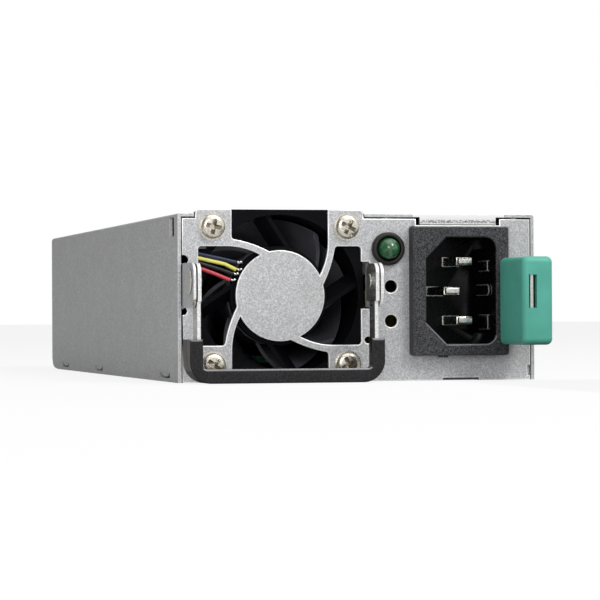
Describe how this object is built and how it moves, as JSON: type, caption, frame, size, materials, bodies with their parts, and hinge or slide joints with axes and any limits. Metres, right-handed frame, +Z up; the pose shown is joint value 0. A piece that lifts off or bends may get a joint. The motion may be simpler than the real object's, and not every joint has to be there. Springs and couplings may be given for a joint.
{
  "type": "hot swap server power supply",
  "caption": "Slim steel-cased hot swap power module with a guarded fan, folding bail handle, mains inlet, status lamp, release latch and rear card edge.",
  "frame": {"origin": "centre of the case's underside, halfway along its length and width", "axes": "+X to the right as the front is looked at, +Y from the front face to the rear, +Z up"},
  "size_m": [0.0876, 0.231, 0.04],
  "materials": {
    "aluminium": "satin",
    "black_lead": "insulated wire",
    "black_plastic": "matt",
    "blue_lead": "insulated wire",
    "brass": "satin",
    "bright_steel": "bright rolled",
    "brown_lead": "insulated wire",
    "capacitor_sleeve": "shrunk sleeve",
    "ceramic": "ceramic tube",
    "circuit_board": "solder mask",
    "copper": "enamelled copper wire",
    "fan_plastic": "satin",
    "ferrite": "dark ferrite",
    "film": "thin film",
    "galvanised_steel": "fine zinc spangle, satin",
    "gold": "gold plated",
    "green_lead": "insulated wire",
    "green_lens": "clear tinted, glossy",
    "green_plastic": "satin gloss",
    "grip_plastic": "matt",
    "inlet_plastic": "spark-textured",
    "lamp_plastic": "satin",
    "nickel_plate": "nickel plated",
    "red_lead": "insulated wire",
    "tin": "tinned",
    "white_plastic": "satin",
    "yellow_lead": "insulated wire",
    "yellow_plastic": "satin"
  },
  "bodies": {
    "chassis": {"base_tray": "galvanised_steel", "board_screws": "nickel_plate", "board_standoffs": "brass", "bridge_rectifier": "black_plastic", "bulk_capacitors": "capacitor_sleeve", "choke_bases": "black_plastic", "control_card": "circuit_board", "control_chips": "black_plastic", "cover_screws": "nickel_plate", "edge_contacts": "gold", "fan_bearings": "bright_steel", "fan_circuit_board": "circuit_board", "fan_coils": "copper", "fan_frame": "black_plastic", "fan_lead_black": "black_lead", "fan_lead_blue": "blue_lead", "fan_lead_red": "red_lead", "fan_lead_yellow": "yellow_lead", "fan_plug": "white_plastic", "fan_screws": "nickel_plate", "fan_stator_core": "bright_steel", "front_panel": "galvanised_steel", "fuse": "ceramic", "handle_rivets": "bright_steel", "inlet_earth_pin": "tin", "inlet_housing": "inlet_plastic", "inlet_lead_earth": "green_lead", "inlet_lead_line": "brown_lead", "inlet_lead_neutral": "blue_lead", "inlet_power_pins": "tin", "input_choke_core": "ferrite", "input_choke_winding": "copper", "insulating_film": "film", "lamp_holder": "lamp_plastic", "lamp_leads": "tin", "lamp_lens": "green_lens", "latch_rivets": "bright_steel", "main_board": "circuit_board", "output_capacitors": "capacitor_sleeve", "output_inductor_core": "ferrite", "output_inductor_winding": "copper", "pfc_choke_core": "ferrite", "pfc_choke_winding": "copper", "primary_heatsink": "aluminium", "primary_transistors": "black_plastic", "rear_panel": "galvanised_steel", "rectifier_transistors": "black_plastic", "secondary_heatsink": "aluminium", "standby_transformer": "yellow_plastic", "top_cover": "galvanised_steel", "transformer_core": "ferrite", "transformer_winding": "yellow_plastic", "x_capacitor": "yellow_plastic"},
    "handle": {"handle_bail": "bright_steel", "handle_grip": "grip_plastic"},
    "latch": {"latch_spring": "bright_steel", "latch_cap": "green_plastic"},
    "rotor": {"fan_rotor": "fan_plastic", "fan_magnet_ring": "ferrite", "fan_shaft": "bright_steel"}
  },
  "joints": [
    {"name": "handle_pivot", "type": "hinge", "parent": "chassis", "child": "handle", "pos_m": [-0.0199, -0.1077, 0.0232], "axis": [-1, 0, 0], "range_deg": [0, 95]},
    {"name": "latch_flex", "type": "hinge", "parent": "chassis", "child": "latch", "pos_m": [0.04155, -0.039, 0.01875], "axis": [0, 0, -1], "range_deg": [0, 1.85], "stiffness_Nm_per_rad": 3},
    {"name": "fan_spin", "type": "hinge", "parent": "chassis", "child": "rotor", "pos_m": [-0.0188, -0.084, 0.02], "axis": [0, 1, 0], "continuous": true}
  ]
}
